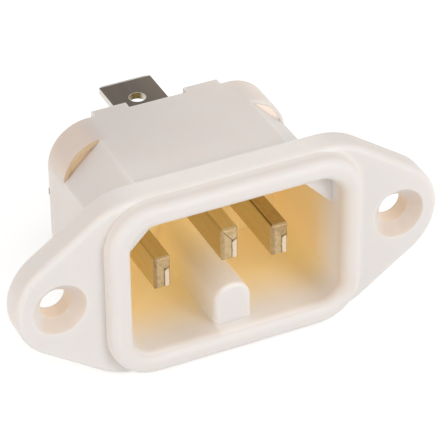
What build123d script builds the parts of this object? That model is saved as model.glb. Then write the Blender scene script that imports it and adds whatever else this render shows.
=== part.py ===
from build123d import *
import math
import os

# Panel-mount appliance inlet. The row frame is in millimetres: X runs along the two screw holes,
# Y is the mating axis and points into the panel, Z is up. The origin is the centre of the flange's
# rear face, which lies on the panel. The mouth looks towards -Y, the tabs point towards +Y.

# How near two places must be to count as the same when edges are picked
near = 0.01

# Screw flange
flange_thickness = 3.3
flange_half_height = 11.15
screw_pitch = 40.0
ear_centre = 18.3
ear_radius = 6.5
shoulder_x = 13.6
shoulder_radius = 8.5
flange_front_edge = 0.65
flange_rear_edge = 0.3

# Screw holes
screw_hole_radius = 1.75
countersink_radius = 3.1
countersink_depth = countersink_radius - screw_hole_radius

# Raised rim around the mouth
rim_height = 1.8
rim_half_width = 14.95
rim_inset = 0.25
rim_half_height = flange_half_height - rim_inset
rim_corner = 5.3
rim_draft = 6.0
lip_outer_radius = 1.1
lip_inner_radius = 1.2

# Cavity
cavity_half_width = 12.3
cavity_half_height = 8.15
cavity_depth = 17.0
cavity_corner = 2.4
cavity_cut = 4.9
mouth_corner = 2.8
cavity_knee = 0.8
gusset_setback = 2.9

# Key ridge on the cavity floor
key_width = 4.3
key_height = 4.87
key_setback = 2.0
key_front_edge = 0.5

# Body behind the flange
body_half_width = 13.3
body_half_height = 9.4
body_cut = 4.35
body_corner = 4.9
body_knee = 0.35
back_wall = 2.0
skirt_depth = 2.0
skirt_wall = 1.1
skirt_length = 4.7
corner_skin = 0.45
skin_edge = 0.18
lug_inner_x = 3.45
lug_outer_x = 7.6
lug_reach = 1.0

# Pins
pin_width = 2.0
pin_height = 4.0
pin_pitch = 14.0
side_pin_z = -1.35
earth_pin_z = 1.62
side_pin_setback = 4.6
earth_pin_setback = 2.45
pin_side_bevel = 0.3
pin_edge_bevel = 0.3
pin_bevel_length = 0.5
pin_long_edge = 0.2
pin_clearance = 0.03

# Staked joint between pin and tab
spigot_radius = 0.9
spigot_clearance = 0.05
head_radius = 1.4
head_height = 0.5

# Quick-connect tabs
tab_width = 6.3
tab_thickness = 0.8
tab_bevel_length = 0.55
tab_bevel_depth = 0.2
tab_corner = 0.5
tab_hole_radius = 0.95
tab_hole_from_tip = 4.15
tab_neck = 0.9
foot_width = 4.4
foot_end = 2.3
bend_radius = 0.5
earth_tab_z = 6.0
side_tab_z = -5.1
earth_tab_reach = 8.95
side_tab_reach = 8.2

# Values worked out from the ones above
panel_y = 0.0
flange_front_y = panel_y - flange_thickness
rim_front_y = flange_front_y - rim_height
cavity_floor_y = rim_front_y + cavity_depth
back_y = cavity_floor_y + back_wall
skirt_end_y = back_y + skirt_depth
skirt_start_y = skirt_end_y - skirt_length
lug_end_y = skirt_end_y + lug_reach
gusset_y = rim_front_y + gusset_setback
key_y = rim_front_y + key_setback
key_top_z = key_height - cavity_half_height
rim_wall = min(rim_half_width - cavity_half_width, rim_half_height - cavity_half_height)
rim_shrink = rim_height * math.tan(math.radians(rim_draft))
lip_room = rim_wall - rim_shrink
outer_lip = min(lip_outer_radius, 0.46 * lip_room)
inner_lip = min(lip_inner_radius, 0.5 * lip_room)
front_edge = min(flange_front_edge, 0.3 * flange_thickness)
rear_edge = min(flange_rear_edge, 0.2 * flange_thickness, 0.25 * (flange_half_height - body_half_height))
foot_y = back_y + tab_thickness
earth_tip_y = lug_end_y + earth_tab_reach
side_tip_y = lug_end_y + side_tab_reach


def facing(y):
    """The upright plane at y that looks towards the front."""
    return Plane(origin=(0, y, 0), x_dir=(1, 0, 0), z_dir=(0, -1, 0))


def prism(profile, y_start, y_end, taper=0.0):
    """Extrudes a profile drawn in X and Z, from its deeper end y_end towards the front y_start."""
    return extrude(facing(y_end) * profile, amount=y_end - y_start, taper=taper)


def rod(x, z, radius, y_start, y_end):
    """A round bar along Y."""
    return prism(Pos(x, z) * Circle(radius), y_start, y_end)


def block(x_size, z_size, x, z, y_start, y_end):
    """A square-edged bar along Y."""
    return prism(Pos(x, z) * Rectangle(x_size, z_size), y_start, y_end)


def rounded(half_width, half_height, radius):
    """A rectangle with four round corners."""
    return RectangleRounded(2 * half_width, 2 * half_height, radius)


def broken(width, height, cut):
    """A rectangle with its four corners cut off a little."""
    shape = Rectangle(width, height)
    return chamfer(shape.vertices(), cut)


def keyed(half_width, half_height, cut, corner, knee):
    """A rectangle whose top corners are cut off at 45 degrees and whose bottom corners are round."""
    points = [
        (-half_width, -half_height),
        (half_width, -half_height),
        (half_width, half_height - cut),
        (half_width - cut, half_height),
        (cut - half_width, half_height),
        (-half_width, half_height - cut),
    ]
    shape = Polygon(*points, align=None)
    low = shape.vertices().sort_by(Axis.Y)[:2]
    shape = fillet(low, corner)
    high = [v for v in shape.vertices() if v.Y > half_height - cut - near]
    return fillet(high, knee)


def flange_profile():
    """A middle with a straight top and bottom, and ears that taper to round ends."""
    away = math.hypot(shoulder_x - ear_centre, flange_half_height)
    to_shoulder = math.atan2(flange_half_height, shoulder_x - ear_centre)
    turn = to_shoulder - math.acos(ear_radius / away)
    touch_x = ear_centre + ear_radius * math.cos(turn)
    touch_z = ear_radius * math.sin(turn)
    tip = (ear_centre + ear_radius, 0)
    edges = Polyline(
        (-touch_x, touch_z),
        (-shoulder_x, flange_half_height),
        (shoulder_x, flange_half_height),
        (touch_x, touch_z),
    )
    edges += Polyline(
        (touch_x, -touch_z),
        (shoulder_x, -flange_half_height),
        (-shoulder_x, -flange_half_height),
        (-touch_x, -touch_z),
    )
    edges += ThreePointArc((touch_x, touch_z), tip, (touch_x, -touch_z))
    edges += ThreePointArc((-touch_x, -touch_z), (-tip[0], 0), (-touch_x, touch_z))
    shape = make_face(edges)
    shoulders = [v for v in shape.vertices() if abs(v.Y) > flange_half_height - near]
    return fillet(shoulders, shoulder_radius)


def flange():
    """The plate with its soft front edge and its broken rear edge."""
    plate = prism(flange_profile(), flange_front_y, panel_y)
    front = plate.faces().sort_by(Axis.Y)[0].edges()
    plate = fillet(front, front_edge)
    rear = plate.faces().sort_by(Axis.Y)[-1].edges()
    return chamfer(rear, rear_edge)


def rim():
    """The drafted collar that stands in front of the flange."""
    inside = flange_thickness / 2
    base = rounded(rim_half_width, rim_half_height, rim_corner)
    raised = prism(base, rim_front_y, flange_front_y, rim_draft)
    root = prism(base, flange_front_y, flange_front_y + inside)
    return raised + root


def body():
    """The block behind the flange, which holds the cavity and the back wall."""
    shape = keyed(body_half_width, body_half_height, body_cut, body_corner, body_knee)
    return prism(shape, panel_y - flange_thickness / 2, back_y)


def skirt():
    """The collar at the rear, with round corners all round, open behind the back wall."""
    collar = prism(rounded(body_half_width, body_half_height, body_corner), skirt_start_y, skirt_end_y)
    inner = rounded(
        body_half_width - skirt_wall,
        body_half_height - skirt_wall,
        body_corner - skirt_wall,
    )
    return collar - prism(inner, back_y, skirt_end_y)


def corner_windows():
    """The slots between the cut body corners and the thin round skin of the skirt."""
    inner = rounded(
        body_half_width - corner_skin,
        body_half_height - corner_skin,
        body_corner - corner_skin,
    )
    space = prism(inner, skirt_start_y, skirt_end_y)
    kept = keyed(body_half_width, body_half_height, body_cut, body_corner, body_knee)
    space -= prism(kept, skirt_start_y, skirt_end_y)
    side = body_half_height
    upper = block(4 * body_half_width, side, 0, side / 2, skirt_start_y, skirt_end_y)
    return space & upper


def lug(side):
    """One of the two tongues that carry the top of the skirt a little further back."""
    width = lug_outer_x - lug_inner_x
    middle = side * (lug_outer_x + lug_inner_x) / 2
    height = body_half_height - skirt_wall / 2
    return block(width, skirt_wall, middle, height, back_y, lug_end_y)


def mouth_profile():
    """A rectangle with two larger round corners at the top and two smaller ones below."""
    shape = Rectangle(2 * cavity_half_width, 2 * cavity_half_height)
    corners = shape.vertices().sort_by(Axis.Y)
    shape = fillet(corners[:2], cavity_corner)
    high = shape.vertices().sort_by(Axis.Y)[-2:]
    return fillet(high, mouth_corner)


def cavity():
    """The space the plug goes into: an open mouth, then the cut corners behind it."""
    deep = keyed(cavity_half_width, cavity_half_height, cavity_cut, cavity_corner, cavity_knee)
    front = prism(mouth_profile(), rim_front_y, gusset_y)
    return front + prism(deep, gusset_y, cavity_floor_y)


def key_ridge():
    """The round-topped ridge along the middle of the cavity floor."""
    radius = key_width / 2
    sunk = (body_half_height - cavity_half_height) / 2
    low = -cavity_half_height - sunk
    straight = key_top_z - radius - low
    ridge = block(key_width, straight, 0, low + straight / 2, key_y, cavity_floor_y + back_wall / 2)
    ridge += rod(0, key_top_z - radius, radius, key_y, cavity_floor_y + back_wall / 2)
    outline = ridge.faces().sort_by(Axis.Y)[0].edges()
    seen = [e for e in outline if e.center().Z > low + near]
    return fillet(seen, key_front_edge)


def screw_hole(side):
    """One countersunk through hole."""
    x = side * screw_pitch / 2
    sink_y = flange_front_y + countersink_depth
    through = rod(x, 0, screw_hole_radius, flange_front_y, panel_y)
    middle_y = (flange_front_y + sink_y) / 2
    cone = Cone(screw_hole_radius, countersink_radius, countersink_depth)
    return through + Pos(x, middle_y, 0) * Rot(90, 0, 0) * cone


def pin_slot(x, z):
    """The slot in the back wall that one pin is pressed through."""
    room = 2 * pin_clearance
    return block(pin_width + room, pin_height + room, x, z, cavity_floor_y, back_y)


def pin_places():
    """Name, X, Z and tip Y of each pin."""
    return [
        ("line", -pin_pitch / 2, side_pin_z, rim_front_y + side_pin_setback),
        ("neutral", pin_pitch / 2, side_pin_z, rim_front_y + side_pin_setback),
        ("earth", 0.0, earth_pin_z, rim_front_y + earth_pin_setback),
    ]


def inlet_housing():
    """The whole moulding."""
    shape = flange() + rim() + body() + skirt() + lug(-1) + lug(1)
    shape -= cavity()
    lips = [e for e in shape.edges() if abs(e.center().Y - rim_front_y) < near]
    inner = [e for e in lips if is_inside_mouth(e)]
    outer = [e for e in lips if not is_inside_mouth(e)]
    shape = fillet(outer, outer_lip)
    lips = [e for e in shape.edges() if abs(e.center().Y - rim_front_y) < near]
    inner = [e for e in lips if is_inside_mouth(e)]
    shape = fillet(inner, inner_lip)
    shape += key_ridge()
    shape -= corner_windows()
    shape = chamfer([e for e in shape.edges() if is_skin_edge(e)], skin_edge)
    shape -= screw_hole(-1)
    shape -= screw_hole(1)
    for name, x, z, tip_y in pin_places():
        shape -= pin_slot(x, z)
    return shape


def is_inside_mouth(edge):
    """True for an edge of the front face that belongs to the mouth."""
    middle = edge.center()
    return abs(middle.X) < cavity_half_width + near and abs(middle.Z) < cavity_half_height + near


def is_skin_edge(edge):
    """True for the outer front edge of the thin skin that crosses a cut body corner."""
    middle = edge.center()
    at_front = abs(middle.Y - skirt_start_y) < near
    beyond_cut = abs(middle.X) + middle.Z > body_half_width + body_half_height - body_cut + near
    return at_front and beyond_cut and edge.geom_type == GeomType.CIRCLE and edge.radius > body_corner - near


def pin(x, z, tip_y):
    """A flat blade with a bevelled tip, and behind the wall a spigot with its staked head."""
    bevel_y = tip_y + pin_bevel_length
    section = Pos(x, z) * broken(pin_width, pin_height, pin_long_edge)
    blade = prism(section, bevel_y, back_y)
    tip_width = pin_width - 2 * pin_side_bevel
    tip_height = pin_height - 2 * pin_edge_bevel
    tip = Pos(x, z) * broken(tip_width, tip_height, pin_long_edge)
    blade += loft([facing(bevel_y) * section, facing(tip_y) * tip], ruled=True)
    spigot = rod(x, z, spigot_radius, back_y - back_wall / 2, foot_y)
    head = rod(x, z, head_radius, foot_y, foot_y + head_height)
    rim_edge = head.edges().sort_by(Axis.Y)[-1]
    head = chamfer(rim_edge, 0.4 * head_height)
    return blade + spigot + head


def tab_blade(x, z, start_y, tip_y):
    """The flat part of a tab with its lead-in bevel, cut corners and hole."""
    length = tip_y - start_y
    half = tab_thickness / 2
    thin = half - tab_bevel_depth
    bevel_y = tip_y - tab_bevel_length
    side_view = Polygon(
        (start_y, -half),
        (bevel_y, -half),
        (tip_y, -thin),
        (tip_y, thin),
        (bevel_y, half),
        (start_y, half),
        align=None,
    )
    plane = Plane(origin=(x - tab_width / 2, 0, z), x_dir=(0, 1, 0), z_dir=(1, 0, 0))
    blade = extrude(plane * side_view, amount=tab_width)
    corners = blade.faces().sort_by(Axis.Y)[-1].edges().filter_by(Axis.Z)
    blade = chamfer(corners, min(tab_corner, 0.2 * length))
    hole = Pos(x, tip_y - tab_hole_from_tip, z) * Cylinder(tab_hole_radius, 2 * tab_thickness)
    return blade - hole


def tab(x, pin_z, tab_z, tip_y):
    """A quick-connect tab: an upright foot held by the pin's head, a bend, and the flat blade."""
    up = 1 if tab_z > pin_z else -1
    half = tab_thickness / 2
    far_z = tab_z + up * half
    near_z = tab_z - up * half
    outer = bend_radius + tab_thickness
    neck_end_y = foot_y + bend_radius + tab_neck
    low_z = pin_z - up * foot_end
    profile = Polyline(
        (neck_end_y, far_z),
        (back_y + outer, far_z),
    )
    profile += RadiusArc((back_y + outer, far_z), (back_y, far_z - up * outer), -up * outer)
    profile += Polyline(
        (back_y, far_z - up * outer),
        (back_y, low_z),
        (foot_y, low_z),
        (foot_y, near_z - up * bend_radius),
    )
    bend_end = (foot_y + bend_radius, near_z)
    profile += RadiusArc((foot_y, near_z - up * bend_radius), bend_end, up * bend_radius)
    profile += Polyline(
        bend_end,
        (neck_end_y, near_z),
        (neck_end_y, far_z),
    )
    plane = Plane(origin=(x - foot_width / 2, 0, 0), x_dir=(0, 1, 0), z_dir=(1, 0, 0))
    foot = extrude(plane * make_face(profile), amount=foot_width)
    hole = rod(x, pin_z, spigot_radius + spigot_clearance, back_y, foot_y)
    return foot - hole + tab_blade(x, tab_z, neck_end_y, tip_y)


def pieces():
    """Every piece by node name."""
    made = {"inlet_housing": inlet_housing()}
    for name, x, z, tip_y in pin_places():
        made[name + "_pin"] = pin(x, z, tip_y)
        tab_z = earth_tab_z if name == "earth" else side_tab_z
        tab_tip = earth_tip_y if name == "earth" else side_tip_y
        made[name + "_tab"] = tab(x, z, tab_z, tab_tip)
    return made


os.makedirs("parts", exist_ok=True)
for node, shape in pieces().items():
    solid = shape.solids()
    body_shape = solid[0] if len(solid) == 1 else Compound(children=list(solid))
    body_shape.label = node
    export_step(body_shape, os.path.join("parts", node + ".step"))
    print(node, "solids", len(solid), "volume", round(sum(s.volume for s in solid), 1))
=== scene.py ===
import math

import bpy
from bpy.props import FloatProperty, FloatVectorProperty, IntProperty, PointerProperty
from mathutils import Matrix, Vector


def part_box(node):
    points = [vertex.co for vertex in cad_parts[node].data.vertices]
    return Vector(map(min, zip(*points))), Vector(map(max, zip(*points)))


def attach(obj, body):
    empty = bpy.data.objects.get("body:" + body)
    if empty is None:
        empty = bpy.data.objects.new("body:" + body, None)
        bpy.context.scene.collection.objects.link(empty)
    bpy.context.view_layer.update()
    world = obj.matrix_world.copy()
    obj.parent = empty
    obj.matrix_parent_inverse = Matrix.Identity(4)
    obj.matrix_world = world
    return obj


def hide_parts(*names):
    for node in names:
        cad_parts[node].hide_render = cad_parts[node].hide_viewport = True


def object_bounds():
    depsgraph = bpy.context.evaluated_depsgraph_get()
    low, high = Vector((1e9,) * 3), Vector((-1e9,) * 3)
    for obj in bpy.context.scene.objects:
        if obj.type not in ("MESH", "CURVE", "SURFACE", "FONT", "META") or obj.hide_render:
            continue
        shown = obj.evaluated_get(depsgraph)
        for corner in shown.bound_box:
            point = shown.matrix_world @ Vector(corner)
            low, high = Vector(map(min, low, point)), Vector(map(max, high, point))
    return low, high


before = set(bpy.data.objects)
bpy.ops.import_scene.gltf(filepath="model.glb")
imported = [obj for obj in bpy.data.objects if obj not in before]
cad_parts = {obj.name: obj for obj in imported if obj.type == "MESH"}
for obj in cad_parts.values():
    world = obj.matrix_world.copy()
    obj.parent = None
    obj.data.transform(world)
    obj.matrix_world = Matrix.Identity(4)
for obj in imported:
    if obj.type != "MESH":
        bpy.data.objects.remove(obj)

bl_info = {
    "name": "Panel-mount appliance inlet",
    "version": (1, 0, 0),
    "blender": (4, 5, 0),
    "location": "3D View > Sidebar > Inlet",
    "description": "Finishes for a moulded appliance inlet: housing, contact pins, tabs and a plain stage",
    "category": "Object",
}

MM = 0.001
QUARTER_TURN = math.pi / 2
CAD_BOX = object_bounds()
HOUSING_LOW, HOUSING_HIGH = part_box("inlet_housing")
BODY = "root"
PINS = ("line", "neutral", "earth")
PIN_WEAR = {
    "line": {"Facet": 0.4, "Top Tarnish": 0.25, "Side Tarnish": 0.0, "Edge Line": 0.25},
    "neutral": {"Facet": 0.4, "Top Tarnish": 0.6, "Side Tarnish": 0.25, "Edge Line": 0.9},
    "earth": {"Facet": 1.0, "Top Tarnish": 0.0, "Side Tarnish": 0.3, "Edge Line": 0.35},
}

# Sizes of the moulding that its finish follows
RIM_HALF_WIDTH = 14.95 * MM
RIM_HALF_HEIGHT = 10.9 * MM
RIM_CORNER = 5.3 * MM
RIM_HEIGHT = 1.8 * MM
RIM_Y = HOUSING_LOW.y
FLANGE_Y = RIM_Y + RIM_HEIGHT
CAVITY_HALF_WIDTH = 12.3 * MM
CAVITY_HALF_HEIGHT = 8.15 * MM
CAVITY_CORNER = 2.4 * MM
CAVITY_CUT = 4.9 * MM
CAVITY_FLOOR_Y = 11.9 * MM
BODY_HALF_WIDTH = 13.3 * MM
BODY_HALF_HEIGHT = 9.4 * MM
BODY_CUT = 4.35 * MM
BODY_CORNER = 4.9 * MM
SKIN = 0.45 * MM
SKIRT_START_Y = 11.2 * MM
RIDGE_HALF_WIDTH = 2.15 * MM
RIDGE_TOP_Z = -3.28 * MM
SCREW_SPACING = 40.0 * MM
SINK_RADIUS = 3.1 * MM
BORE_RADIUS = 1.75 * MM
SINK_END_Y = FLANGE_Y + SINK_RADIUS - BORE_RADIUS

# Sizes of the tabs that their finish follows
TAB_HOLE_SETBACK = 4.15 * MM
TAB_HOLE_RADIUS = 0.95 * MM

# Marks that the shear leaves on a pin's tip, measured from the middle of the tip
STRIP_X = 0.18 * MM
STRIP_Z = 0.42 * MM
STRIP_DEPTH = 0.04 * MM
STRIP_SWAY = 0.22 * MM
NOTCH_X = 0.22 * MM
NOTCH_Z = 0.46 * MM
SLANT_DEGREES = 38.9
SLANT_DISTANCE = 0.51 * MM
CREST_DEGREES = 114.0
CREST_DISTANCE = 0.33 * MM
FACET_SLOPE = 0.28
SEAM_DEPTH = 0.09 * MM
TEAR_DEPTH = 0.05 * MM
MARKS_SETBACK = 0.065 * MM

# Other sizes of a pin
TARNISHED_EDGE = 0.12 * MM
SPIGOT_RADIUS = 0.9 * MM
HEAD_TAPER = 0.85

# How finely the pins are meshed
PIN_POINTS = {"Vertices X": 47, "Vertices Y": 14, "Vertices Z": 89}
ROUND_SIDES = 32

# Fixed tones, as shares of the colour below them or as light added to it; the moulding's tones are painted
# light and painted shade
FRONT_PAINTED_LIGHT = (0.985, 1.02, 1.055, 1.0)
RIGHT_RIM_PAINTED_SHADE = (0.93, 0.87, 0.78, 1.0)
REAR_LEFT_PAINTED_SHADE = (0.88, 0.88, 0.88, 1.0)
THIN_SKIN_PAINTED_SHADE = (0.95, 0.90, 0.855, 1.0)
BORE_GLOW = (0.13, 0.095, 0.05, 1.0)
SEAM_COLOUR = (0.06, 0.035, 0.015, 1.0)
BLACK = (0.0, 0.0, 0.0, 1.0)
WHITE = (1.0, 1.0, 1.0, 1.0)
SKY_COLOUR = (1.0, 0.99, 0.98, 1.0)

# The stage
FLOOR_REACH = 3.0
KEY_PLACE = (0.24, -0.48, 0.26)
FILL_PLACE = (-0.58, -0.12, 0.13)
LAMP_SIZE = 0.30
SENSOR_WIDTH = 36.0


# Node helpers

class Wire:
    """A value on its way from one node to another. Arithmetic on it adds Math nodes to its tree."""

    def __init__(self, tree, socket):
        self.tree = tree
        self.socket = socket

    def __add__(self, other):
        return self.tree.math("ADD", self, other)

    def __sub__(self, other):
        return self.tree.math("SUBTRACT", self, other)

    def __rsub__(self, other):
        return self.tree.math("SUBTRACT", other, self)

    def __mul__(self, other):
        return self.tree.math("MULTIPLY", self, other)

    def __truediv__(self, other):
        return self.tree.math("DIVIDE", self, other)

    def __pow__(self, other):
        return self.tree.math("POWER", self, other)

    def __neg__(self):
        return self.tree.math("MULTIPLY", self, -1.0)

    def __abs__(self):
        return self.tree.math("ABSOLUTE", self)


class Tree:
    """Adds nodes to a node tree and joins them, one call for each node."""

    def __init__(self, data):
        self.data = data

    def add(self, kind, inputs=None, **settings):
        """A new node with these settings, its inputs fed from wires or plain values."""
        node = self.data.nodes.new(kind)
        for name, value in settings.items():
            setattr(node, name, value)
        for key, value in (inputs or {}).items():
            self.feed(node.inputs[key], value)
        return node

    def feed(self, socket, value):
        if isinstance(value, Wire):
            self.data.links.new(value.socket, socket)
        else:
            socket.default_value = value

    def out(self, kind, inputs=None, output=0, **settings):
        """One output of a new node."""
        return Wire(self, self.add(kind, inputs, **settings).outputs[output])

    def given(self):
        """The group's own inputs, by name."""
        sockets = self.add("NodeGroupInput").outputs
        return {socket.name: Wire(self, socket) for socket in sockets if socket.name}

    def place(self, group, inputs):
        """Places a node group and returns its outputs, by name."""
        node = self.data.nodes.new("ShaderNodeGroup")
        node.node_tree = group
        for key, value in inputs.items():
            self.feed(node.inputs[key], value)
        return {socket.name: Wire(self, socket) for socket in node.outputs}

    def math(self, operation, *values):
        return self.out("ShaderNodeMath", dict(enumerate(values)), operation=operation)

    def split(self, vector):
        return [Wire(self, part) for part in self.add("ShaderNodeSeparateXYZ", {0: vector}).outputs]

    def join(self, x, y, z):
        return self.out("ShaderNodeCombineXYZ", {0: x, 1: y, 2: z})

    def noise(self, place, scale, detail=2.0, roughness=0.5, distortion=0.0):
        inputs = {"Vector": place, "Scale": scale, "Detail": detail, "Roughness": roughness,
                  "Distortion": distortion}
        return self.out("ShaderNodeTexNoise", inputs, output="Fac")

    def bump(self, height, strength, distance):
        return self.out("ShaderNodeBump", {"Height": height, "Strength": strength, "Distance": distance})

    def blend(self, share, below, over, mode="MIX"):
        """Lays one colour over another, as far as the share says."""
        node = self.data.nodes.new("ShaderNodeMix")
        node.data_type = "RGBA"
        node.blend_type = mode
        node.clamp_factor = True
        self.feed(node.inputs["Factor"], share)
        for name, value in (("A", below), ("B", over)):
            self.feed([s for s in node.inputs if s.name == name and s.type == "RGBA"][0], value)
        return Wire(self, [s for s in node.outputs if s.type == "RGBA"][0])

    def layers(self, color, layers):
        """Lays several colours over the first one in turn, each given as share, colour and mode."""
        for share, over, mode in layers:
            color = self.blend(share, color, over, mode)
        return color


def larger(first, *others):
    """The largest of a wire and other wires or numbers."""
    for other in others:
        first = first.tree.math("MAXIMUM", first, other)
    return first


def smaller(first, second):
    return first.tree.math("MINIMUM", first, second)


def length(across, along):
    """The long side of a right triangle."""
    return across.tree.math("SQRT", across * across + along * along)


def ramp(value, start, end):
    """0 up to start and 1 from end on, smooth between them; it falls where start is the larger."""
    return value.tree.out("ShaderNodeMapRange", {"Value": value, "From Min": start, "From Max": end},
                          interpolation_type="SMOOTHSTEP")


def new_group(name, kind, inputs, outputs):
    """A node group with these sockets: inputs are kind, name and default, outputs are kind and name."""
    group = bpy.data.node_groups.new(name, kind)
    for socket_kind, socket_name, default in inputs:
        socket = group.interface.new_socket(name=socket_name, in_out="INPUT",
                                            socket_type="NodeSocket" + socket_kind)
        if default is not None:
            socket.default_value = default
    for socket_kind, socket_name in outputs:
        group.interface.new_socket(name=socket_name, in_out="OUTPUT",
                                   socket_type="NodeSocket" + socket_kind)
    return group


def rgba(color):
    return (color[0], color[1], color[2], 1.0)


def shade(color, red, green, blue):
    """A colour with each channel scaled."""
    return (color[0] * red, color[1] * green, color[2] * blue, 1.0)


def mottle_group():
    """Slow blotches and fine grain of the plastic."""
    group = new_group("Surface mottle", "ShaderNodeTree",
                      [("Vector", "Place", None), ("Float", "Blotch Scale", 300.0),
                       ("Float", "Grain Scale", 6000.0)],
                      [("Float", "Blotch"), ("Float", "Grain")])
    tree = Tree(group)
    given = tree.given()
    tree.add("NodeGroupOutput", {
        "Blotch": tree.noise(given["Place"], given["Blotch Scale"], detail=3.0, roughness=0.55),
        "Grain": tree.noise(given["Place"], given["Grain Scale"], detail=2.0, roughness=0.6),
    })
    return group


def drawn_group():
    """Streaks left along the strip by rolling and drawing, for both metals."""
    name = "Drawn metal"
    if name in bpy.data.node_groups:
        return bpy.data.node_groups[name]
    group = new_group(name, "ShaderNodeTree",
                      [("Vector", "Place", None), ("Vector", "Stretch", (1.0, 0.04, 1.0)),
                       ("Float", "Scale", 4000.0)],
                      [("Float", "Streak"), ("Float", "Patina")])
    tree = Tree(group)
    given = tree.given()
    along = tree.out("ShaderNodeVectorMath", {0: given["Place"], 1: given["Stretch"]}, operation="MULTIPLY")
    tree.add("NodeGroupOutput", {
        "Streak": tree.noise(along, given["Scale"], detail=4.0, roughness=0.65),
        "Patina": tree.noise(given["Place"], 2200.0, detail=5.0, roughness=0.6, distortion=0.4),
    })
    return group


def new_material(name):
    material = bpy.data.materials.new(name)
    material.use_nodes = True
    material.node_tree.nodes.clear()
    return material, Tree(material.node_tree)


def finish_material(tree, shader):
    tree.add("ShaderNodeOutputMaterial", {"Surface": shader})


class Spot:
    """The shaded point of a piece: where it lies and which way it faces."""

    def __init__(self, tree):
        self.place = tree.out("ShaderNodeTexCoord", output="Object")
        self.x, self.y, self.z = tree.split(self.place)
        self.side = abs(self.x)
        facing = tree.out("ShaderNodeNewGeometry", output="Normal")
        self.facing_x, self.facing_y, self.facing_z = tree.split(facing)


# Settings

class InletHousingLook(bpy.types.PropertyGroup):
    outer: FloatVectorProperty(name="Outer Colour", description="Cream of the moulding outside",
                               subtype="COLOR", default=(0.815, 0.755, 0.715), min=0, max=1)
    # the cavity's amber is painted shade laid on the walls deeper in the cavity
    inner: FloatVectorProperty(name="Cavity Painted Shade", description="Amber of the walls inside the cavity",
                               subtype="COLOR", default=(0.90, 0.68, 0.36), min=0, max=1)
    soak: FloatVectorProperty(name="Soaked Light", description="Daylight through the cavity's thin walls",
                              subtype="COLOR", default=(0.15, 0.135, 0.065), min=0, max=1)
    haze: FloatVectorProperty(name="Haze", description="Pale light that spreads in the plastic at the mouth",
                              subtype="COLOR", default=(0.10, 0.11, 0.11), min=0, max=1)
    fade_start: FloatProperty(name="Fade Start", description="Depth behind the rim where the amber begins",
                              default=1.0 * MM, unit="LENGTH")
    fade_end: FloatProperty(name="Fade End", description="Depth behind the rim where the amber is full",
                            default=10.0 * MM, unit="LENGTH")
    roughness: FloatProperty(name="Roughness", description="Satin of the moulded skin", default=0.45,
                             subtype="FACTOR", min=0, max=1)
    glow: FloatProperty(name="Translucency", description="How far light spreads inside the plastic",
                        default=1.0 * MM, unit="LENGTH")


class InletPinLook(bpy.types.PropertyGroup):
    brass: FloatVectorProperty(name="Brass", description="Colour of the drawn sides", subtype="COLOR",
                               default=(0.72, 0.64, 0.37), min=0, max=1)
    tarnish: FloatVectorProperty(name="Tarnish", description="Colour of the brass where it has darkened",
                                 subtype="COLOR", default=(0.33, 0.21, 0.085), min=0, max=1)
    tip: FloatVectorProperty(name="Torn Tip", description="Colour of the tip where the shear tore it",
                             subtype="COLOR", default=(0.58, 0.43, 0.235), min=0, max=1)
    strip: FloatVectorProperty(name="Burnished Strip", description="Colour where the shear polished the tip",
                               subtype="COLOR", default=(0.74, 0.61, 0.45), min=0, max=1)
    width: FloatProperty(name="Width", description="Thickness of a pin along X", default=2.0 * MM,
                         unit="LENGTH")
    height: FloatProperty(name="Height", description="Height of a pin along Z", default=4.0 * MM,
                          unit="LENGTH")
    edge: FloatProperty(name="Edge Radius", description="Softness of the long edges", default=0.28 * MM,
                        unit="LENGTH")
    bevel: FloatProperty(name="Lead-in", description="How far the bevels of the tip reach inwards",
                         default=0.3 * MM, unit="LENGTH")
    bevel_length: FloatProperty(name="Lead-in Length", description="How far the bevels of the tip reach back",
                                default=0.5 * MM, unit="LENGTH")
    seed: IntProperty(name="Seed", description="Changes the marks on the tips", default=4)


class InletTabLook(bpy.types.PropertyGroup):
    # the tabs' dark tin is a painted dark reflection
    tin: FloatVectorProperty(name="Tin", description="Tin with painted reflections of the tabs", subtype="COLOR",
                             default=(0.115, 0.092, 0.073), min=0, max=1)
    # this pale colour is a painted reflection of the pale backdrop on the tabs' edges and hole walls
    bright: FloatVectorProperty(name="Painted Backdrop Reflection", description="Colour where edges are rubbed bright",
                                subtype="COLOR", default=(0.72, 0.68, 0.62), min=0, max=1)
    hole: FloatVectorProperty(name="Hole Wall", description="Bare brass inside the holes", subtype="COLOR",
                              default=(0.36, 0.28, 0.13), min=0, max=1)


class InletStageLook(bpy.types.PropertyGroup):
    floor: FloatVectorProperty(name="Floor", description="Colour of the floor", subtype="COLOR",
                               default=(0.85, 0.85, 0.85), min=0, max=1)
    lift: FloatProperty(name="Floor Lift", description="White that the floor adds for the camera",
                        default=0.45, min=0, max=1)
    world: FloatProperty(name="Sky", description="Strength of the light from all round", default=0.66, min=0)
    key: FloatProperty(name="Key", description="Power of the lamp at the upper right", default=1.25,
                       subtype="POWER", min=0)
    fill: FloatProperty(name="Fill", description="Power of the lamp from the left", default=0.82,
                        subtype="POWER", min=0)
    lens: FloatProperty(name="Lens", description="Focal length of the camera in millimetres", default=210.72)
    turn: FloatProperty(name="View Turn", description="How far left of the mouth's axis the camera stands",
                        default=math.radians(25.025), unit="ROTATION")
    tilt: FloatProperty(name="View Tilt", description="How steeply the camera looks down",
                        default=math.radians(35.178), unit="ROTATION")
    roll: FloatProperty(name="View Roll", description="How far the camera leans over",
                        default=math.radians(-0.576), unit="ROTATION")
    distance: FloatProperty(name="View Distance", description="From the camera to the point it looks at",
                            default=287.34 * MM, unit="LENGTH")
    target: FloatVectorProperty(name="View Target", description="The point that the camera looks at",
                                default=(3.413 * MM, 6.881 * MM, -2.443 * MM), unit="LENGTH")


# Zones of the moulding, as masks from 0 to 1

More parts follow.
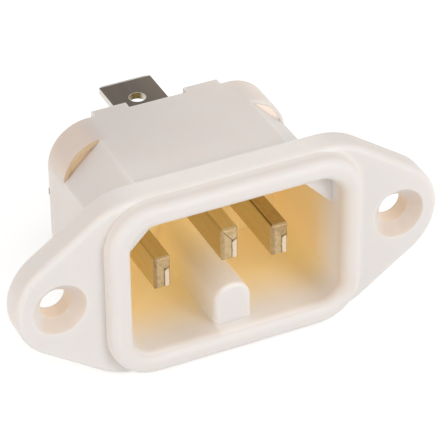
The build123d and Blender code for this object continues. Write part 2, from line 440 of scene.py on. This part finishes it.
def beyond_outline(at, half_width, half_height, corner):
    """How far a point lies outside a rounded outline; less than 0 inside its corners."""
    over_x = larger(at.side - (half_width - corner), 0.0)
    over_z = larger(abs(at.z) - (half_height - corner), 0.0)
    return length(over_x, over_z) - corner


def cavity_walls(at):
    """The cavity's own walls: its outline with two cut top corners, as deep as its back wall."""
    skin, soft = 0.15 * MM, 0.15 * MM
    cut_line = CAVITY_HALF_WIDTH + CAVITY_HALF_HEIGHT - CAVITY_CUT + skin
    off = beyond_outline(at, CAVITY_HALF_WIDTH, CAVITY_HALF_HEIGHT, CAVITY_CORNER)
    within = ramp(off, skin + soft, skin)
    below_cut = ramp(at.side + at.z, cut_line + soft, cut_line)
    return within * below_cut * ramp(at.y, CAVITY_FLOOR_Y + skin + soft, CAVITY_FLOOR_Y + skin)


def corner_slots(at):
    """Three masks: inside the slots behind the cut corners, the thin round skin over them, its front edge."""
    across = at.side + at.z
    cut_line = BODY_HALF_WIDTH + BODY_HALF_HEIGHT - BODY_CUT
    off = beyond_outline(at, BODY_HALF_WIDTH, BODY_HALF_HEIGHT, BODY_CORNER)
    behind = ramp(at.y, SKIRT_START_Y, SKIRT_START_Y + 0.8 * MM)
    slot = ramp(across, cut_line - 0.1 * MM, cut_line) * behind * ramp(off, -0.3 * SKIN, -0.8 * SKIN)
    on_skirt = ramp(at.y, SKIRT_START_Y - 0.05 * MM, SKIRT_START_Y)
    skin = ramp(across, cut_line - 1.5 * MM, cut_line + 0.5 * MM) * ramp(off, -0.8 * SKIN, -0.3 * SKIN)
    edge = ramp(across, cut_line - 0.05 * MM, cut_line + 0.05 * MM)
    edge = edge * ramp(at.y, SKIRT_START_Y + SKIN / 2 + 0.1 * MM, SKIRT_START_Y + SKIN / 2)
    return slot, skin * on_skirt, edge * on_skirt


def rim_crease(at):
    """The corner where the rim stands on the flange, fading over a fraction of a millimetre; painted shade
    and painted glow are laid in it.
    """
    off = beyond_outline(at, RIM_HALF_WIDTH, RIM_HALF_HEIGHT, RIM_CORNER)
    return ramp(length(off, at.y - FLANGE_Y), 0.9 * MM, 0.0)


def right_rim_shade_mask(at):
    """The right side of the rim, where a painted warm shade stands for the light of the cavity shining into
    its inner edge.
    """
    across = ramp(at.x, CAVITY_HALF_WIDTH + 1.9 * MM, CAVITY_HALF_WIDTH - 0.2 * MM)
    across = across * ramp(at.x, 0.0, CAVITY_HALF_WIDTH - 1.0 * MM)
    upright = ramp(abs(at.z), CAVITY_HALF_HEIGHT + 0.5 * MM, CAVITY_HALF_HEIGHT - 2.5 * MM)
    return across * upright * ramp(at.y, FLANGE_Y, FLANGE_Y - RIM_HEIGHT / 2)


def screw_hole_shade(at, from_hole):
    """Shade inside a screw hole: more of it deep down, and on the walls that look left or up."""
    within = ramp(from_hole, SINK_RADIUS + 0.05 * MM, SINK_RADIUS - 0.2 * MM)
    deep = ramp(at.y, FLANGE_Y, FLANGE_Y + 2.0 * MM)
    leaning = ramp(larger(-at.facing_x, at.facing_z), 0.1, 0.7)
    return within * larger(deep * 0.45, leaning * 0.8)


def screw_bore(at, from_hole):
    """The straight wall of a screw hole, behind its countersink."""
    within = ramp(from_hole, BORE_RADIUS + 0.25 * MM, BORE_RADIUS + 0.05 * MM)
    behind_sink = ramp(at.y, SINK_END_Y - 0.15 * MM, SINK_END_Y + 0.25 * MM)
    return within * behind_sink * ramp(at.y, -0.05 * MM, -0.3 * MM)


def key_ridge(at):
    """The key ridge, full at the mouth and fading towards the back wall."""
    edge = 0.4 * MM
    across = ramp(at.side, RIDGE_HALF_WIDTH + edge, RIDGE_HALF_WIDTH)
    upright = ramp(at.z, RIDGE_TOP_Z + edge, RIDGE_TOP_Z)
    return across * upright * ramp(at.y, CAVITY_FLOOR_Y - 2.0 * MM, 2.0 * MM)


def ridge_foot(at, look):
    """The two corners between the key ridge and the cavity's floor."""
    off_ridge = abs(at.side - RIDGE_HALF_WIDTH)
    corner = ramp(larger(off_ridge, at.z + CAVITY_HALF_HEIGHT), 0.35 * MM, 0.0)
    return corner * ramp(at.y, RIM_Y + look.fade_start, RIM_Y + look.fade_end / 2)


def mouth_lip(at, zones):
    """Upward faces inside the mouth that catch pale light, less of it on the floor left of the ridge."""
    upward = larger(ramp(at.facing_z, 0.2, 0.8), zones.ridge * zones.turned)
    upward = upward * ramp(at.x, CAVITY_HALF_WIDTH - 1.0 * MM, CAVITY_HALF_WIDTH / 2)
    left_floor = ramp(at.x, -0.9 * RIDGE_HALF_WIDTH, -1.1 * RIDGE_HALF_WIDTH)
    left_floor = left_floor * ramp(at.x, -4.5 * RIDGE_HALF_WIDTH, -2.5 * RIDGE_HALF_WIDTH)
    return zones.inside * upward * (1.0 - left_floor * 0.6) * ramp(at.y, 7.0 * MM, FLANGE_Y)


def body_crown(at):
    """The top of the body just behind the flange."""
    on_top = ramp(at.z, BODY_HALF_HEIGHT - 0.6 * MM, BODY_HALF_HEIGHT - 0.1 * MM)
    on_top = on_top * ramp(at.facing_z, 0.5, 0.9)
    near_flange = ramp(at.y, 8.0 * MM, -2.0 * MM) * ramp(at.y, FLANGE_Y + 0.2 * MM, FLANGE_Y + 0.8 * MM)
    return on_top * near_flange * ramp(at.side, RIM_HALF_WIDTH, BODY_CUT * 2)


def rear_left_shade_mask(at):
    """Upward faces of the rear left quarter, which get a little painted shade."""
    rear_left = ramp(at.y, 0.0, HOUSING_HIGH.y) * ramp(at.x, HOUSING_HIGH.x / 3, HOUSING_LOW.x / 3)
    return rear_left * ramp(at.facing_z, 0.0, 0.6)


class HousingZones:
    """The masks that the moulding's colour and its glow share, for their painted light and shade."""

    def __init__(self, at, look):
        self.inside = cavity_walls(at)
        self.ridge = key_ridge(at)
        self.crease = rim_crease(at)
        self.slot, self.skin, self.skin_edge_shade = corner_slots(at)
        self.from_hole = length(at.side - SCREW_SPACING / 2, at.z)
        # the side of the slots that the light comes through
        self.bright_side = ramp(at.x, -5.0 * MM, 5.0 * MM)
        # not on faces near the mouth that look straight out of it
        self.turned = 1.0 - ramp(-at.facing_y, 0.2, 0.95) * ramp(at.y, 2.0 * MM, 1.0 * MM)
        # painted amber shade, deeper in, less of it on the ridge and on the left wall
        depth = ramp(at.y, RIM_Y + look.fade_start, RIM_Y + look.fade_end)
        left_wall = ramp(at.x, 1.0 * MM - CAVITY_HALF_WIDTH, 0.3 * MM - CAVITY_HALF_WIDTH)
        spared = larger(self.ridge * 0.6, left_wall * 0.5)
        self.amber = self.inside * depth * self.turned * (1.0 - spared)


# Materials

def housing_colour(tree, at, zones, look, blotch):
    """Cream outside with painted light and shade: amber shade inside, paler in front, shade in corners,
    holes, slots and thin skin.
    """
    plain = tree.blend(blotch * 0.35, rgba(look.outer), shade(look.outer, 0.985, 0.965, 0.935))
    amber = tree.blend(blotch * 0.5, rgba(look.inner), shade(look.inner, 0.97, 0.93, 0.86))
    # painted shade inside the slots: warm and darker on the left, plain cream on the right
    slot_shade_and_glow = tree.blend(zones.bright_side, shade(look.outer, 0.88, 0.76, 0.62), rgba(look.outer))
    # painted shade in the rim's crease and inside the screw holes
    corners = larger(zones.crease * 0.2, screw_hole_shade(at, zones.from_hole))
    return tree.layers(plain, [
        # painted light: faces that look out of the front are made paler
        (ramp(at.facing_y, -0.2, -0.9), FRONT_PAINTED_LIGHT, "MULTIPLY"),
        # painted warm shade at the inner edge of the rim's right side
        (right_rim_shade_mask(at), RIGHT_RIM_PAINTED_SHADE, "MULTIPLY"),
        (corners, shade(look.outer, 0.93, 0.84, 0.74), "MIX"),
        # painted shade on the upward faces of the rear left quarter
        (rear_left_shade_mask(at), REAR_LEFT_PAINTED_SHADE, "MULTIPLY"),
        # painted warm shade on the thin skin over the slots, less of it on the bright right side
        (zones.skin * (1.0 - zones.bright_side * 0.7), THIN_SKIN_PAINTED_SHADE, "MULTIPLY"),
        # painted shade on the skin's front edge, on the left side only
        (zones.skin_edge_shade * (1.0 - zones.bright_side), shade(look.outer, 0.72, 0.58, 0.40), "MIX"),
        # painted amber shade on the cavity's walls
        (zones.amber, amber, "MIX"),
        (zones.slot, slot_shade_and_glow, "MIX"),
    ])


def housing_glow(tree, at, zones, look):
    """Light that has soaked through the plastic and spreads in it."""
    soak, haze = rgba(look.soak), rgba(look.haze)
    less_at_left = ramp(at.x, -RIM_HALF_WIDTH, RIM_CORNER - RIM_HALF_WIDTH) * 0.5 + 0.4
    # painted glow inside the slots: amber on the left, pale on the right
    slot_shade_and_glow = tree.blend(zones.bright_side, shade(look.outer, 0.28, 0.245, 0.165),
                         shade(look.outer, 0.30, 0.30, 0.29))
    return tree.layers(BLACK, [
        (zones.amber, soak, "ADD"),
        (larger(mouth_lip(at, zones), body_crown(at)), haze, "ADD"),
        (zones.crease * less_at_left, haze, "ADD"),
        (zones.slot, slot_shade_and_glow, "ADD"),
        (screw_bore(at, zones.from_hole), BORE_GLOW, "ADD"),
        (ridge_foot(at, look) * zones.inside * 0.35, soak, "ADD"),
    ])


def moulded_plastic(look):
    """Cream thermoplastic: satin, a little translucent, with painted amber shade and painted glow where light
    only reaches it from inside.
    """
    material, tree = new_material("Moulded plastic")
    at = Spot(tree)
    zones = HousingZones(at, look)
    marks = tree.place(mottle_group(), {"Place": at.place, "Blotch Scale": 220.0, "Grain Scale": 5200.0})
    shader = tree.out("ShaderNodeBsdfPrincipled", {
        "Base Color": housing_colour(tree, at, zones, look, ramp(marks["Blotch"], 0.3, 0.7)),
        "Roughness": marks["Grain"] * 0.12 + (look.roughness - 0.06),
        "Normal": tree.bump(marks["Grain"], 0.12, 0.02 * MM),
        "IOR": 1.45,
        "Subsurface Weight": 0.8,
        "Subsurface Radius": (1.0, 0.85, 0.65),
        "Subsurface Scale": look.glow,
        "Emission Color": housing_glow(tree, at, zones, look),
        "Emission Strength": 1.0,
    })
    finish_material(tree, shader)
    return material


def drawn_brass(look):
    """Brass drawn along Y, with a tip that the shear tore on one side and burnished on the other."""
    material, tree = new_material("Drawn brass")
    place = tree.out("ShaderNodeTexCoord", output="Object")
    marks = tree.place(drawn_group(), {"Place": place, "Scale": 3500.0})
    streak = ramp(marks["Streak"], 0.35, 0.7)
    patina = ramp(marks["Patina"], 0.4, 0.75)
    tip, seam, strip, tarnish = (tree.out("ShaderNodeAttribute", output="Fac", attribute_name=name)
                                 for name in ("tip", "seam", "strip", "tarnish"))
    brass = tree.blend(streak * 0.35, rgba(look.brass), shade(look.brass, 0.75, 0.68, 0.58))
    torn = tree.blend(patina * 0.8, rgba(look.tip), shade(look.tip, 0.62, 0.55, 0.45))
    shader = tree.out("ShaderNodeBsdfPrincipled", {
        "Base Color": tree.layers(brass, [
            (tip, torn, "MIX"),
            (tarnish * (patina * 0.4 + 0.8), rgba(look.tarnish), "MIX"),
            (strip, rgba(look.strip), "MIX"),
            (seam, SEAM_COLOUR, "MIX"),
        ]),
        "Metallic": 0.85 - tip * 0.35,
        "Roughness": tip * 0.2 + 0.34 - strip * 0.28,
        "Normal": tree.bump(marks["Streak"], 0.25, 0.01 * MM),
    })
    finish_material(tree, shader)
    return material


def tab_hole_walls(at):
    """1 on the walls of the holes in the three tabs."""
    walls = []
    for name in PINS:
        low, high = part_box(name + "_tab")
        from_hole = length(at.x - (low.x + high.x) / 2, at.y - (high.y - TAB_HOLE_SETBACK))
        walls.append(ramp(from_hole, TAB_HOLE_RADIUS + 0.07 * MM, TAB_HOLE_RADIUS + 0.02 * MM))
    return larger(*walls)


def tin_with_painted_reflections(look):
    """Tin-plated strip with painted reflections: dark flats for mirrored dark surroundings, bright edges for
    the mirrored pale backdrop, brass inside its hole.
    """
    material, tree = new_material("Tin with painted reflections")
    at = Spot(tree)
    marks = tree.place(drawn_group(), {"Place": at.place, "Scale": 2600.0})
    streak = ramp(marks["Streak"], 0.35, 0.7)
    earth_tab_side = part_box("earth_tab")[1].x
    outer_tabs = tree.math("GREATER_THAN", at.side, earth_tab_side + 0.2 * MM)
    # painted reflection: flats, and the outer tabs' outward sides, dark; the other faces bright
    dark_reflection_faces = ramp(larger(abs(at.facing_x) * outer_tabs, abs(at.facing_z)), 0.90, 0.99)
    # lighter along the drawn streaks, and lighter towards the right as painted light
    streak_and_painted_light = larger(streak * 0.5, ramp(at.x, -1.0 * MM, 4.0 * MM))
    tin = tree.blend(streak_and_painted_light, rgba(look.tin), shade(look.tin, 1.5, 1.5, 1.5))
    # painted reflection: the hole wall is bare brass where it faces the front and painted bright elsewhere
    hole_wall_and_reflection = tree.blend(ramp(-at.facing_y, 0.3, 0.8), rgba(look.bright), rgba(look.hole))
    shader = tree.out("ShaderNodeBsdfPrincipled", {
        "Base Color": tree.layers(rgba(look.bright), [
            (dark_reflection_faces, tin, "MIX"),
            (tab_hole_walls(at), hole_wall_and_reflection, "MIX"),
        ]),
        "Metallic": 0.75,
        "Roughness": marks["Patina"] * 0.2 + 0.28,
        "Normal": tree.bump(marks["Streak"], 0.2, 0.01 * MM),
    })
    finish_material(tree, shader)
    return material


def seen_straight(tree):
    """1 for what the camera sees, itself or in a mirror or through glass, 0 for light that spreads."""
    paths = tree.add("ShaderNodeLightPath").outputs
    rays = [Wire(tree, paths[name]) for name in ("Is Camera Ray", "Is Glossy Ray", "Is Transmission Ray")]
    return larger(*rays)


def stage_floor(look):
    """Pale floor that reads as the white of the backdrop, keeps a soft shadow and is clear from below."""
    material, tree = new_material("Stage floor")
    diffuse = tree.out("ShaderNodeBsdfDiffuse", {"Color": rgba(look.floor)})
    lift = tree.out("ShaderNodeEmission", {"Color": WHITE, "Strength": seen_straight(tree) * look.lift})
    above = tree.out("ShaderNodeAddShader", {0: diffuse, 1: lift})
    from_below = tree.out("ShaderNodeNewGeometry", output="Backfacing")
    clear = tree.out("ShaderNodeBsdfTransparent")
    finish_material(tree, tree.out("ShaderNodeMixShader", {0: from_below, 1: above, 2: clear}))
    return material


# The contact pin's tree

def pin_section(tree, given, spot_x, spot_z):
    """The blade's section, from places that run from -1 to 1 both ways."""
    # points that crowd towards the edges
    half_width, half_height = given["Width"] * 0.5, given["Height"] * 0.5
    flat_x = half_width * tree.math("SINE", spot_x * QUARTER_TURN)
    flat_z = half_height * tree.math("SINE", spot_z * QUARTER_TURN)
    # the four corners pulled in to a small arc
    radius = given["Edge Radius"]
    core_x, core_z = half_width - radius, half_height - radius
    over_x = larger(abs(flat_x) - core_x, 0.0)
    over_z = larger(abs(flat_z) - core_z, 0.0)
    shrink = radius / larger(length(over_x, over_z), radius)
    x = tree.math("SIGN", flat_x) * (smaller(abs(flat_x), core_x) + over_x * shrink)
    z = tree.math("SIGN", flat_z) * (smaller(abs(flat_z), core_z) + over_z * shrink)
    return x, z


def past_line(x, z, degrees, distance):
    """How far a point lies past a line that is this far from the middle in this direction."""
    angle = math.radians(degrees)
    return x * math.cos(angle) + z * math.sin(angle) - distance


def tip_marks(tree, given, x, z, off_side):
    """What the shear left on the flat of a tip: depth of its marks, burnished strip, seams, facet's line."""
    moved = tree.join(x, given["Seed"] * (1.7 * MM), z)
    tear = tree.noise(moved, 2600.0, detail=3.0)
    sway = (tree.noise(moved, 1300.0) - 0.5) * STRIP_SWAY
    # a burnished strip at the lower right, a little sunk
    right = x - (sway + STRIP_X)
    below = sway + STRIP_Z - z
    strip = ramp(right, -0.02 * MM, 0.05 * MM) * ramp(below, -0.03 * MM, 0.08 * MM)
    strip = strip * ramp(off_side, 0.10 * MM, -0.02 * MM)
    # a facet at the upper right, between two lines
    slant = past_line(x, z, SLANT_DEGREES, SLANT_DISTANCE)
    crest = past_line(x, z, CREST_DEGREES, CREST_DISTANCE)
    facet = larger(smaller(slant, crest), 0.0) * FACET_SLOPE * given["Facet"]
    # seams along the lines and beside the strip, and a notch where they meet
    slant_seam = ramp(abs(slant), 0.09 * MM, 0.01 * MM) * ramp(crest, -0.06 * MM, 0.06 * MM)
    crest_seam = ramp(abs(crest), 0.10 * MM, 0.01 * MM) * ramp(slant, -0.06 * MM, 0.06 * MM)
    strip_seam = ramp(abs(right + 0.04 * MM), 0.08 * MM, 0.01 * MM) * ramp(below, -0.05 * MM, 0.1 * MM)
    notch = ramp(length(x - NOTCH_X, z - NOTCH_Z), 0.20 * MM, 0.04 * MM)
    seam = larger(slant_seam * given["Facet"] * 0.7, strip_seam * 0.6, crest_seam * 0.8, notch)
    torn = (tear - 0.5) * TEAR_DEPTH * (1.0 - strip)
    depth = torn - strip * STRIP_DEPTH + facet + seam * SEAM_DEPTH
    return depth, strip, seam, slant


def store_marks(tree, mesh, on_tip, marks):
    """Keeps each mark as an attribute for the brass, with one value on the tip and one along the blade."""
    for name, at_tip, along_blade in marks:
        value = on_tip * at_tip + (1.0 - on_tip) * along_blade
        mesh = tree.out("GeometryNodeStoreNamedAttribute", {
            "Geometry": mesh, "Name": name, "Value": value,
        }, data_type="FLOAT", domain="POINT")
    return mesh


def staked_spigot(tree, given):
    """The round spigot that holds the tab and its staked head, as two meshes."""
    reach = given["End Y"] - given["Back Y"] - given["Head Height"]
    spigot = tree.out("GeometryNodeMeshCylinder", {
        "Vertices": ROUND_SIDES, "Radius": SPIGOT_RADIUS, "Depth": reach,
    }, output="Mesh")
    head = tree.out("GeometryNodeMeshCone", {
        "Vertices": ROUND_SIDES, "Side Segments": 4, "Radius Top": given["Head Radius"] * HEAD_TAPER,
        "Radius Bottom": given["Head Radius"], "Depth": given["Head Height"],
    }, output="Mesh")
    parts = []
    for mesh, y in ((spigot, given["Back Y"] + reach * 0.5), (head, given["End Y"] - given["Head Height"])):
        place = tree.join(given["Centre X"], y, given["Centre Z"])
        parts.append(tree.out("GeometryNodeTransform", {
            "Geometry": mesh, "Translation": place, "Rotation": (-QUARTER_TURN, 0.0, 0.0),
        }))
    return parts


def pin_tree():
    """Builds a contact pin: a soft-edged blade whose bevelled tip has a facet, seams and shear marks."""
    group = new_group("Contact pin", "GeometryNodeTree", [
        ("Geometry", "Geometry", None), ("Float", "Width", 2.0 * MM), ("Float", "Height", 4.0 * MM),
        ("Float", "Centre X", 0.0), ("Float", "Centre Z", 0.0), ("Float", "Tip Y", 0.0),
        ("Float", "Back Y", 10.0 * MM), ("Float", "End Y", 12.0 * MM), ("Float", "Edge Radius", 0.1 * MM),
        ("Float", "Bevel", 0.3 * MM), ("Float", "Bevel Length", 0.5 * MM), ("Float", "Facet", 1.0),
        ("Float", "Top Tarnish", 0.3), ("Float", "Side Tarnish", 0.3), ("Float", "Edge Line", 0.5),
        ("Float", "Head Radius", 1.4 * MM), ("Float", "Head Height", 0.5 * MM), ("Int", "Seed", 0),
        ("Material", "Material", None),
    ], [("Geometry", "Geometry")])
    group.is_modifier = True
    tree = Tree(group)
    given = tree.given()
    block = tree.out("GeometryNodeMeshCube", {"Size": (2.0, 2.0, 2.0), **PIN_POINTS}, output="Mesh")
    spot_x, spot_y, spot_z = tree.split(tree.out("GeometryNodeInputPosition"))
    x, z = pin_section(tree, given, spot_x, spot_z)
    half_width, half_height, bevel = given["Width"] * 0.5, given["Height"] * 0.5, given["Bevel"]
    # lead-in bevels on all four sides of the tip
    off_side = abs(x) - (half_width - bevel)
    off_end = abs(z) - (half_height - bevel)
    slope = larger(larger(off_side, off_end) / bevel, 0.0)
    inner = ramp(slope, 0.6, 0.1)
    depth, strip, seam, slant = tip_marks(tree, given, x, z, off_side)
    # the setback keeps every mark behind the tip's own plane
    tip_y = given["Tip Y"] + slope * given["Bevel Length"] + inner * (depth + MARKS_SETBACK)
    # rings along the blade, crowded towards the tip
    along = ((spot_y + 1.0) * 0.5) ** 3.0
    y = tip_y + along * (given["Back Y"] - tip_y)
    place = tree.join(x + given["Centre X"], y, z + given["Centre Z"])
    # darkened top, sides and facet, and a dark line along the top left edge
    on_top = ramp(z, half_height - TARNISHED_EDGE, half_height - TARNISHED_EDGE / 4)
    from_edge = abs(x + (half_width - TARNISHED_EDGE))
    edge_line = ramp(from_edge, 0.13 * MM, 0.03 * MM) * on_top * given["Edge Line"]
    blade_tarnish = on_top * given["Top Tarnish"] + (1.0 - on_top) * given["Side Tarnish"]
    tip_tarnish = ramp(slant, 0.0, 0.15 * MM) * given["Top Tarnish"] * inner * (1.0 - strip)
    on_tip = tree.math("LESS_THAN", spot_y, -0.99)
    marked = store_marks(tree, block, on_tip, [
        ("tip", ramp(slope, 1.0, 0.75), 0.0),
        ("strip", strip * inner, 0.0),
        ("seam", seam * inner, edge_line),
        ("tarnish", tip_tarnish, blade_tarnish),
    ])
    blade = tree.out("GeometryNodeSetPosition", {"Geometry": marked, "Position": place})
    joined = tree.add("GeometryNodeJoinGeometry")
    for part in reversed([blade, *staked_spigot(tree, given)]):
        tree.feed(joined.inputs["Geometry"], part)
    real = tree.out("GeometryNodeRealizeInstances", {0: Wire(tree, joined.outputs["Geometry"])})
    painted = tree.out("GeometryNodeSetMaterial", {"Geometry": real, "Material": given["Material"]})
    tree.add("NodeGroupOutput", {"Geometry": painted})
    return group


# Pieces

def dress(piece, material):
    piece.data.materials.clear()
    piece.data.materials.append(material)


def made_by_tree(name, group, values):
    """Runs a geometry tree with these inputs and returns its result as a plain mesh object."""
    holder = bpy.data.objects.new(name + "_holder", bpy.data.meshes.new(name + "_holder"))
    bpy.context.scene.collection.objects.link(holder)
    modifier = holder.modifiers.new("Shape", "NODES")
    modifier.node_group = group
    for item in group.interface.items_tree:
        if item.item_type == "SOCKET" and item.in_out == "INPUT" and item.name in values:
            modifier[item.identifier] = values[item.name]
    graph = bpy.context.evaluated_depsgraph_get()
    mesh = bpy.data.meshes.new_from_object(holder.evaluated_get(graph), preserve_all_data_layers=True,
                                           depsgraph=graph)
    bpy.data.objects.remove(holder)
    mesh.name = name
    piece = bpy.data.objects.new(name, mesh)
    bpy.context.scene.collection.objects.link(piece)
    return piece


def smooth(piece, degrees):
    """Smooth shading that stops at edges sharper than this."""
    mesh = piece.data
    mesh.polygons.foreach_set("use_smooth", [True] * len(mesh.polygons))
    mesh.set_sharp_from_angle(angle=math.radians(degrees))
    mesh.update()


class INLET_OT_housing(bpy.types.Operator):
    """Give the moulded housing its plastic"""
    bl_idname = "inlet.housing"
    bl_label = "Dress Housing"

    def execute(self, context):
        dress(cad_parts["inlet_housing"], moulded_plastic(context.scene.inlet_housing))
        return {"FINISHED"}


class INLET_OT_pins(bpy.types.Operator):
    """Make the contact pins with their cut tips"""
    bl_idname = "inlet.pins"
    bl_label = "Make Contact Pins"

    def execute(self, context):
        look = context.scene.inlet_pins
        material = drawn_brass(look)
        group = pin_tree()
        for number, name in enumerate(PINS):
            low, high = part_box(name + "_pin")
            tab_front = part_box(name + "_tab")[0].y
            piece = made_by_tree(name + "_contact", group, {
                "Width": look.width, "Height": look.height, "Centre X": (low.x + high.x) / 2,
                "Centre Z": (low.z + high.z) / 2, "Tip Y": low.y, "Back Y": tab_front, "End Y": high.y,
                "Edge Radius": look.edge, "Bevel": look.bevel, "Bevel Length": look.bevel_length,
                "Seed": look.seed + number, "Material": material, **PIN_WEAR[name],
            })
            smooth(piece, 35)
            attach(piece, BODY)
            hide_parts(name + "_pin")
        return {"FINISHED"}


class INLET_OT_tabs(bpy.types.Operator):
    """Give the quick-connect tabs their tin"""
    bl_idname = "inlet.tabs"
    bl_label = "Dress Tabs"

    def execute(self, context):
        material = tin_with_painted_reflections(context.scene.inlet_tabs)
        for name in PINS:
            dress(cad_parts[name + "_tab"], material)
        return {"FINISHED"}


# The stage

def floor(scene, look, height):
    mesh = bpy.data.meshes.new("stage_floor")
    corners = [(x * FLOOR_REACH, y * FLOOR_REACH, height) for x, y in ((-1, -1), (1, -1), (1, 1), (-1, 1))]
    mesh.from_pydata(corners, [], [(0, 1, 2, 3)])
    ground = bpy.data.objects.new("stage_floor", mesh)
    scene.collection.objects.link(ground)
    dress(ground, stage_floor(look))


def lamp(scene, name, place, target, power):
    """A round soft lamp that looks at the target."""
    data = bpy.data.lights.new(name, "AREA")
    data.shape = "DISK"
    data.size = LAMP_SIZE
    data.energy = power
    thing = bpy.data.objects.new(name, data)
    thing.location = Vector(place)
    thing.rotation_mode = "QUATERNION"
    thing.rotation_quaternion = (Vector(place) - target).to_track_quat("Z", "Y")
    thing.visible_camera = False
    scene.collection.objects.link(thing)


def sky(scene, look):
    """Light from all round, with a white background for the camera."""
    world = bpy.data.worlds.new("Studio sky")
    world.use_nodes = True
    world.node_tree.nodes.clear()
    tree = Tree(world.node_tree)
    light = tree.out("ShaderNodeBackground", {"Color": SKY_COLOUR, "Strength": look.world})
    white = tree.out("ShaderNodeBackground", {"Color": WHITE, "Strength": 1.0})
    shader = tree.out("ShaderNodeMixShader", {0: seen_straight(tree), 1: light, 2: white})
    tree.add("ShaderNodeOutputWorld", {"Surface": shader})
    scene.world = world


def camera(scene, look):
    """The photograph's view: from the front left and above, through a long lens."""
    data = bpy.data.cameras.new("view_camera")
    data.lens = look.lens
    data.sensor_width = SENSOR_WIDTH
    data.clip_start, data.clip_end = 0.01, 20.0
    thing = bpy.data.objects.new("view_camera", data)
    swing = Matrix.Rotation(-look.turn, 4, "Z")
    tilt = Matrix.Rotation(QUARTER_TURN - look.tilt, 4, "X")
    roll = Matrix.Rotation(look.roll, 4, "Z")
    back_off = Matrix.Translation((0.0, 0.0, look.distance))
    thing.matrix_world = Matrix.Translation(Vector(look.target)) @ swing @ tilt @ roll @ back_off
    scene.collection.objects.link(thing)
    scene.camera = thing


class INLET_OT_stage(bpy.types.Operator):
    """Set the floor, the lamps, the sky and the camera"""
    bl_idname = "inlet.stage"
    bl_label = "Set Stage"

    def execute(self, context):
        scene = context.scene
        look = scene.inlet_stage
        low, high = CAD_BOX
        middle = (low + high) / 2
        floor(scene, look, low.z)
        lamp(scene, "key_lamp", KEY_PLACE, middle, look.key)
        lamp(scene, "fill_lamp", FILL_PLACE, middle, look.fill)
        sky(scene, look)
        camera(scene, look)
        scene.view_settings.view_transform = "Standard"
        return {"FINISHED"}


# Panel and registration

class INLET_PT_panel(bpy.types.Panel):
    """Settings and steps of the inlet"""
    bl_label = "Appliance Inlet"
    bl_idname = "INLET_PT_panel"
    bl_space_type = "VIEW_3D"
    bl_region_type = "UI"
    bl_category = "Inlet"

    def draw(self, context):
        scene = context.scene
        for title, settings, operator in (
            ("Housing", scene.inlet_housing, INLET_OT_housing), ("Pins", scene.inlet_pins, INLET_OT_pins),
            ("Tabs", scene.inlet_tabs, INLET_OT_tabs), ("Stage", scene.inlet_stage, INLET_OT_stage),
        ):
            box = self.layout.box()
            box.label(text=title)
            for name in settings.bl_rna.properties.keys():
                if name not in ("rna_type", "name"):
                    box.prop(settings, name)
            box.operator(operator.bl_idname)


SETTINGS = {"inlet_housing": InletHousingLook, "inlet_pins": InletPinLook, "inlet_tabs": InletTabLook,
            "inlet_stage": InletStageLook}
CLASSES = (*SETTINGS.values(), INLET_OT_housing, INLET_OT_pins, INLET_OT_tabs, INLET_OT_stage, INLET_PT_panel)


def register():
    for cls in CLASSES:
        bpy.utils.register_class(cls)
    for name, cls in SETTINGS.items():
        setattr(bpy.types.Scene, name, PointerProperty(type=cls))


def unregister():
    for name in SETTINGS:
        delattr(bpy.types.Scene, name)
    for cls in reversed(CLASSES):
        bpy.utils.unregister_class(cls)


def main():
    register()
    bpy.ops.inlet.stage()
    bpy.ops.inlet.housing()
    bpy.ops.inlet.pins()
    bpy.ops.inlet.tabs()


if __name__ == "__main__":
    main()
